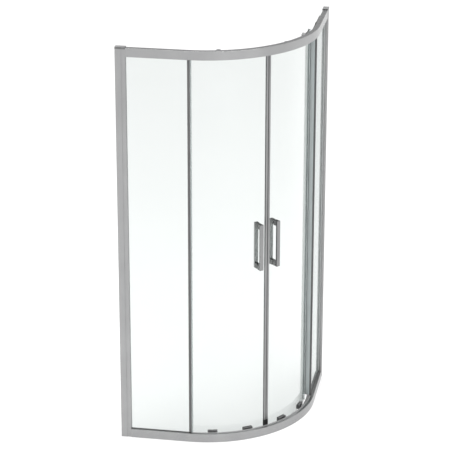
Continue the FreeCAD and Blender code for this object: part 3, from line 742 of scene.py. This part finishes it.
roller = {
    "plane": 0.518, "width": 0.0056, "play": 0.00006,
    "topRadius": 0.013, "topPin": 0.004, "topLevel": 1.9881, "topPinReach": 0.0062, "topPinFrom": 0.5052,
    "bottomRadius": 0.011, "bottomPin": 0.003, "bottomLevel": 0.0261, "bottomPinReach": 0.005,
    "bottomPinFrom": 0.5105, "raceWidth": 0.0009, "sealShare": 0.22, "sealDip": 0.0004, "webDip": 0.0009,
    "tyre": 0.0022, "step": 0.0001, "boreBreak": 0.0003, "webSlope": 0.0004,
    "crown": ((0.0006, 0.0), (0.0001, 0.0005), (0.0, 0.0012)),
}


# material 1 on the roller pins and their nuts, which are steel, and 0 on the moulded part that holds them
def pinPaint(side, level, degreesOf):
    height, pinReach, pinFrom = roller[level + "Level"], roller[level + "PinReach"], roller[level + "PinFrom"]

    def paint(centre):
        spot = toSide(centre, side) - arcCentre
        if math.hypot(spot.x, spot.y) < pinFrom:
            return 0
        for degrees in degreesOf:
            turn = math.radians(degrees)
            across = spot.x * math.cos(turn) + spot.y * math.sin(turn)
            if math.hypot(across, centre.z - height) < pinReach:
                return 1
        return 0
    return paint


for side in sides:
    softened(side + "_wall_channel", "frame_aluminium", frameMetal, edgeBreak["channel"])
    softened(side + "_glass_profile", "frame_aluminium", frameMetal, edgeBreak["profile"])
    softened(side + "_leading_profile", "door_aluminium", doorMetal, edgeBreak["doorProfile"])
    softened(side + "_leading_foot", "black_plastic", blackPlastic, edgeBreak["foot"])
    softened(side + "_magnet_strip", "magnet_rubber", magnetRubber, edgeBreak["magnet"])
    softened(side + "_trailing_profile", "clear_plastic", trailingPlastic, edgeBreak["doorProfile"])
    softened(side + "_top_brackets", "grey_plastic", [greyPlastic, screwSteel], edgeBreak["bracket"],
             paintOf=pinPaint(side, "top", tuple(rollerDegrees["top"].values())))
    softened(side + "_top_bolts", "steel", screwSteel, edgeBreak["bolt"], steps=3)
    softened(side + "_bottom_housings", "grey_plastic", greyPlastic, edgeBreak["housing"])
    softened(side + "_bottom_clamps", "grey_plastic", greyPlastic, edgeBreak["clamp"])
    softened(side + "_handle_outer_bar", "handle_chrome", handleMetal, edgeBreak["bar"], steps=3)
    # painted light: the inner bar takes the lighter copy of the handle chrome
    softened(side + "_handle_inner_bar", "handle_chrome", innerBarLitMetal, edgeBreak["bar"], steps=3)
    # painted shade: the posts take the darker copy of the handle chrome
    softened(side + "_handle_posts", "handle_chrome", postShadedMetal, edgeBreak["post"])
    softened(side + "_handle_washers", "clear_rubber", clearRubber, edgeBreak["washer"])
    for end, degrees in rollerDegrees["bottom"].items():
        nodeName = side + "_release_slider_" + end
        softened(nodeName, nodeSlot[nodeName], [blackPlastic, screwSteel], edgeBreak["slider"],
                 paintOf=pinPaint(side, "bottom", (degrees,)))
print("profiles, brackets, housings and handles finished")


# roller: crowned tyre, dished web, and the steel races of its bearing with a seal between them
def rollerProfile(radius, pin):
    half, step = roller["width"] / 2, roller["step"]
    bore = pin + roller["play"]
    race = bore + roller["raceWidth"]
    seal = race + (radius - race) * roller["sealShare"]
    ringOuter = seal + roller["raceWidth"]
    rim = radius - roller["tyre"]
    sealLevel, webLevel = half - roller["sealDip"], half - roller["webDip"]
    profile = [(bore, half - step), (bore + roller["boreBreak"], half), (race, half),
               (race + step, sealLevel), (seal, sealLevel), (seal + step, half), (ringOuter, half),
               (ringOuter + step, webLevel), (rim, webLevel), (rim + roller["webSlope"], half - step)]
    profile += [(radius - inward, half - down) for inward, down in roller["crown"]]
    return profile + [(reach, -depth) for reach, depth in reversed(profile)], ringOuter


for side in sides:
    for level, degreesOf in rollerDegrees.items():
        profile, ringOuter = rollerProfile(roller[level + "Radius"], roller[level + "Pin"])
        height = roller[level + "Level"]
        for end, degrees in degreesOf.items():
            def onAxle(turn, reach, depth, degrees=degrees, height=height, side=side):
                across, rise = reach * math.cos(turn), reach * math.sin(turn)
                return toSide(aroundFront(roller["plane"] + depth, degrees, height + rise, across), side)

            def tyreOrRace(first, second, ringOuter=ringOuter):
                return 1 if max(first[0], second[0]) <= ringOuter + roller["step"] / 2 else 0

            nodeName = side + "_" + level + "_wheel_" + end
            mesh = turnedMesh(nodeName + "Turned", profile, onAxle, tyreOrRace)
            materials = [wheelPlastic, screwSteel]
            addPiece(nodeName + "Turned", mesh, nodeName, "wheel_plastic", materials, [nodeName])
print("rollers turned")

spring = {
    "coilRadius": 0.00205, "wire": 0.0004, "turns": 4.5, "endTurn": 0.75, "low": 0.0315, "high": 0.0412,
    "sliderRadius": 0.5066, "keep": 0.485, "stepsPerTurn": 20, "wireSides": 7,
}


# compression spring with closed ends
def springMesh(name, side, degrees):
    stepsPerTurn, wireSides = spring["stepsPerTurn"], spring["wireSides"]
    total = int(spring["turns"] * stepsPerTurn)
    low, high = spring["low"] + spring["wire"], spring["high"] - spring["wire"]
    closed = spring["endTurn"] / spring["turns"]
    pitchShare = 2 * spring["wire"] * spring["endTurn"] / (high - low)
    points, faces = [], []
    for step in range(total + 1):
        share = step / total
        if share < closed:
            rise = pitchShare * share / closed
        elif share > 1 - closed:
            rise = 1 - pitchShare * (1 - share) / closed
        else:
            rise = pitchShare + (1 - 2 * pitchShare) * (share - closed) / (1 - 2 * closed)
        turn = step * 2 * math.pi / stepsPerTurn
        for corner in range(wireSides):
            swing = corner * 2 * math.pi / wireSides
            reach = spring["coilRadius"] + spring["wire"] * math.cos(swing)
            z = low + (high - low) * rise + spring["wire"] * math.sin(swing)
            radius = spring["sliderRadius"] + reach * math.sin(turn)
            points.append(toSide(aroundFront(radius, degrees, z, reach * math.cos(turn)), side))
    for step in range(total):
        for corner in range(wireSides):
            following = (corner + 1) % wireSides
            base, after = step * wireSides, (step + 1) * wireSides
            faces.append((base + corner, base + following, after + following, after + corner))
    faces.append(tuple(range(wireSides)))
    faces.append(tuple(total * wireSides + corner for corner in range(wireSides)))
    return meshFrom(name, points, faces)


for side in sides:
    for end, degrees in rollerDegrees["bottom"].items():
        nodeName = side + "_release_spring_" + end
        mesh = springMesh(nodeName + "Coil", side, degrees)
        coil = addPiece(nodeName + "Coil", mesh, side + "_door", "steel", screwSteel, [nodeName])
        top = toSide(aroundFront(spring["sliderRadius"], degrees, spring["high"]), side)
        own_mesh(coil)
print("springs wound")

# two soft fins close the gap between the closed door and the fixed glass: one on the door's trailing strip,
# and one on the fixed glass's seal, a little further round
sealFin = {
    "thickness": 0.0011, "backShare": 0.8, "steps": 8, "endStep": 0.002, "bottom": 0.0465,
    "doorFoot": 0.502, "doorTip": 0.5205, "doorDegrees": 0.42, "doorLean": 0.0022, "doorTop": 1.966,
    "fixedFoot": 0.5275, "fixedTip": 0.5092, "fixedDegrees": 1.12, "fixedLean": 0.0016, "fixedTop": 1.9605,
}


def finLoop(foot, tip, lean):
    half = sealFin["thickness"] / 2
    back = half * sealFin["backShare"]
    spine = []
    for step in range(sealFin["steps"] + 1):
        share = step / sealFin["steps"]
        spine.append((foot + (tip - foot) * share, lean * share * share))
    front = [Vector((radius, across - half)) for radius, across in spine]
    return front + [Vector((radius, across + back)) for radius, across in reversed(spine)]


def finPlace(side, degrees, z):
    return lambda spot: toSide(aroundFront(spot[0], degrees, z, spot[1]), side)


for side in sides:
    # the door's fin takes the darker copy of the clear plastic as painted shade
    for finName, body, slotName, material in (("door", side + "_door", "clear_plastic", doorFinPaintedShadePlastic),
                                              ("fixed", "frame", "grey_rubber", fixedFinPlastic)):
        loop = finLoop(sealFin[finName + "Foot"], sealFin[finName + "Tip"], sealFin[finName + "Lean"])
        low, high, endStep = sealFin["bottom"], sealFin[finName + "Top"], sealFin["endStep"]
        degrees = sealFin[finName + "Degrees"]
        places = [finPlace(side, degrees, z) for z in (low, low + endStep, high - endStep, high)]
        name = side + finName.capitalize() + "SealFin"
        addPiece(name, sweepLoop(name, loop, places), body, slotName, material)
print("seal fins made")

sideScrew = {
    "fromWall": 0.022, "heights": (0.220, 1.790), "face": 0.027, "radius": 0.0045, "headHeight": 0.0022,
    "dome": ((1, 0.55), (0.93, 0.22), (0.78, 0.06), (0.62, 0)),  # shares of the radius and of the height
    "slotLength": 0.0044, "slotWidth": 0.0009, "slotDepth": 0.0011, "slotTaper": 0.8,
    "steps": 40, "flatWeld": 1e-9, "weld": 0.000005,
}


# pan head with a cross recess: a domed ring round a cross-shaped well
def screwHead(name, side, z):
    long, wide = sideScrew["slotLength"] / 2, sideScrew["slotWidth"] / 2
    cross = [(long, -wide), (long, wide), (wide, wide), (wide, long), (-wide, long), (-wide, wide),
             (-long, wide), (-long, -wide), (-wide, -wide), (-wide, -long), (wide, -long), (wide, -wide)]
    steps, corners = sideScrew["steps"], len(cross)
    height = sideScrew["headHeight"]
    top = sideScrew["face"] + height

    def place(u, v, depth):
        return toSide((-halfWidth + sideScrew["fromWall"] + u, -halfWidth + depth, z + v), side)

    rings = [(sideScrew["radius"], sideScrew["face"])]
    rings += [(sideScrew["radius"] * share, top - height * drop) for share, drop in sideScrew["dome"]]
    turns = [k * 2 * math.pi / steps for k in range(steps)]
    points = []
    for reach, depth in rings:
        points += [place(reach * math.cos(turn), reach * math.sin(turn), depth) for turn in turns]
    faces = []
    for ring in range(len(rings) - 1):
        for k in range(steps):
            here, following = ring * steps + k, ring * steps + (k + 1) % steps
            faces.append((here, following, following + steps, here + steps))
    faces.append(tuple(range(steps)))

    inner = rings[-1][0]
    crossLoop = [Vector(spot) for spot in cross]
    flat = [Vector((inner * math.cos(turn), inner * math.sin(turn))) for turn in turns] + crossLoop
    edges = [(k, (k + 1) % steps) for k in range(steps)]
    edges += [(steps + k, steps + (k + 1) % corners) for k in range(corners)]
    spots, _, triangles, _, _, _ = delaunay_2d_cdt(flat, edges, [], 1, sideScrew["flatWeld"])
    base = len(points)
    points += [place(spot.x, spot.y, top) for spot in spots]
    for triangle in triangles:
        centre = sum((spots[k] for k in triangle), Vector((0, 0))) / 3
        if not insideLoop(centre.x, centre.y, crossLoop):
            faces.append(tuple(base + k for k in triangle))

    wall, taper = len(points), sideScrew["slotTaper"]
    points += [place(u, v, top) for u, v in cross]
    points += [place(u * taper, v * taper, top - sideScrew["slotDepth"]) for u, v in cross]
    for k in range(corners):
        following = (k + 1) % corners
        faces.append((wall + k, wall + following, wall + corners + following, wall + corners + k))
    faces.append(tuple(wall + corners + k for k in range(corners)))

    mesh = meshFrom(name, points, faces)
    builder = bmesh.new()
    builder.from_mesh(mesh)
    bmesh.ops.remove_doubles(builder, verts=builder.verts, dist=sideScrew["weld"])
    bmesh.ops.recalc_face_normals(builder, faces=builder.faces)
    builder.to_mesh(mesh)
    builder.free()
    shadeByAngle(mesh)
    return mesh


for side in sides:
    for level, z in zip(("Lower", "Upper"), sideScrew["heights"]):
        name = side + "SideScrew" + level
        stands = ["side_screws"] if (side, level) == ("left", "Lower") else ()  # all four stand for one node
        addPiece(name, screwHead(name, side, z), "frame", "steel", screwSteel, stands)
print("side screws made")

studio = {
    "floorReach": 60, "floorTone": (0.45, 0.46), "floorCloud": (1.5, 1.5, 1.5), "floorRough": 0.8,
    "floorGloss": 0.1, "floorGlow": 0.585,
    "sky": ((0.11, 1.06), (0.17, 0.38), (0.38, 0.38), (0.78, 1.50)),  # a direction's height, its brightness
    "lights": {
        "over": {"power": 74, "place": (0.0, 0.0, 4.4), "size": 1.7, "aim": (0.05, -0.05, 0)},
        "rightFill": {"power": 26, "place": (4.2, -3.2, 2.8), "size": 1.6, "aim": (0.42, 0.2, 1.0)},
        "key": {"power": 46, "place": (-1.7, -2.3, 4.6), "size": 3.0, "aim": (0, 0, 0.5)},
        "frontPool": {"power": 42, "place": (2.9, -5.0, 2.6), "size": 1.6, "aim": (2.9, -4.9, 0)},
        "sidePool": {"power": 34, "place": (4.4, 3.4, 2.6), "size": 1.6, "aim": (4.3, 3.4, 0)},
    },
}


def makeFloor():
    reach = studio["floorReach"]
    corners = [(-reach, -reach, 0), (reach, -reach, 0), (reach, reach, 0), (-reach, reach, 0)]
    floorMesh = bpy.data.meshes.new("studioFloor")
    floorMesh.from_pydata(corners, [], [(0, 1, 2, 3)])
    floor = bpy.data.objects.new("studioFloor", floorMesh)
    bpy.context.scene.collection.objects.link(floor)
    values = {"Roughness": studio["floorRough"], "Specular IOR Level": studio["floorGloss"],
              "Emission Color": (1, 1, 1, 1), "Emission Strength": studio["floorGlow"]}
    floorPaint, shader = startMaterial("floorPaint", values)
    tones = [(value, value, value, 1) for value in studio["floorTone"]]
    cloud = grainOf(floorPaint, studio["floorCloud"], detail=2.0)
    join(floorPaint, rampOf(floorPaint, cloud, *tones), shader.inputs["Base Color"])
    floorMesh.materials.append(floorPaint)


def makeSky():
    world = bpy.data.worlds.new("studioSky")
    world.use_nodes = True
    nodes, links = world.node_tree.nodes, world.node_tree.links
    place = nodes.new("ShaderNodeTexCoord")
    split = nodes.new("ShaderNodeSeparateXYZ")
    ramp = nodes.new("ShaderNodeValToRGB")
    ramp.color_ramp.elements.remove(ramp.color_ramp.elements[1])
    for number, (position, bright) in enumerate(studio["sky"]):
        stop = ramp.color_ramp.elements.new(position) if number else ramp.color_ramp.elements[0]
        stop.position = position
        stop.color = (bright, bright, bright, 1)
    links.new(place.outputs["Generated"], split.inputs["Vector"])
    links.new(split.outputs["Z"], ramp.inputs["Fac"])
    links.new(ramp.outputs["Color"], nodes["Background"].inputs["Color"])
    bpy.context.scene.world = world


def makeLight(name, setting):
    lamp = bpy.data.lights.new(name, "AREA")
    lamp.energy = setting["power"]
    lamp.size = setting["size"]
    light = bpy.data.objects.new(name, lamp)
    bpy.context.scene.collection.objects.link(light)
    light.location = setting["place"]
    light.rotation_euler = (Vector(setting["aim"]) - light.location).to_track_quat("-Z", "Y").to_euler()
    light.visible_camera = False


cameraView = {
    "place": (1.6569, -9.4996, 4.6763), "azimuth": 9.90, "down": 20.93, "roll": 0.05,
    "lens": 166.15, "sensor": 36, "farthest": 200,
}


def makeCamera():
    camera = bpy.data.cameras.new("productCamera")
    camera.lens = cameraView["lens"]
    camera.sensor_width = cameraView["sensor"]
    camera.clip_end = cameraView["farthest"]
    cameraObject = bpy.data.objects.new("productCamera", camera)
    bpy.context.scene.collection.objects.link(cameraObject)
    turn, down = math.radians(cameraView["azimuth"]), math.radians(cameraView["down"])
    forward = Vector((-math.sin(turn) * math.cos(down), math.cos(turn) * math.cos(down), -math.sin(down)))
    aim = forward.to_track_quat("-Z", "Y").to_matrix().to_4x4()
    roll = Matrix.Rotation(math.radians(cameraView["roll"]), 4, "Z")
    cameraObject.matrix_world = Matrix.Translation(cameraView["place"]) @ aim @ roll
    bpy.context.scene.camera = cameraObject


makeFloor()
makeSky()
for name, setting in studio["lights"].items():
    makeLight(name + "Light", setting)
bpy.context.scene.view_settings.view_transform = "Standard"
makeCamera()
print("studio and camera made")
